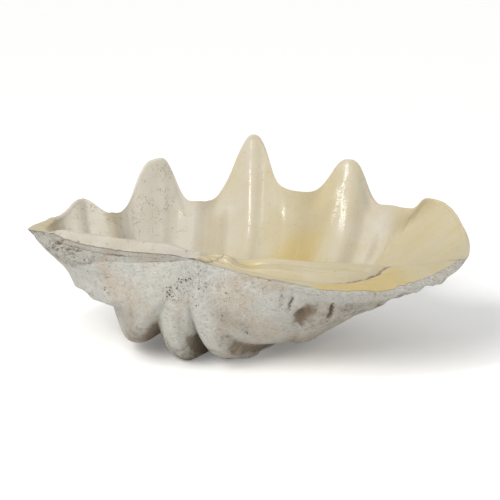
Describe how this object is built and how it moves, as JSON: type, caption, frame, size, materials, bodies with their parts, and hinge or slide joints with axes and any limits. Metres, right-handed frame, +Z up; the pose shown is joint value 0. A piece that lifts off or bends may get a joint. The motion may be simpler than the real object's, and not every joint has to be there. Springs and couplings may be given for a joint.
{
  "type": "giant clam half shell",
  "caption": "Deep fluted half shell of a giant clam, an open bowl with tall rounded lobes along its back margin and a long hinge plate, resting on its ribs.",
  "frame": {"origin": "centre of the bounding box on the ground under the shell", "axes": "X along the hinge toward the long ridged shelf, Y from the beak toward the lobed back margin, Z up with the bowl open upward"},
  "size_m": [0.608, 0.3876, 0.2565],
  "materials": {
    "shell": "chalky outside, porcelain gloss inside"
  },
  "bodies": {
    "root": {"half_shell": "shell"}
  },
  "joints": []
}
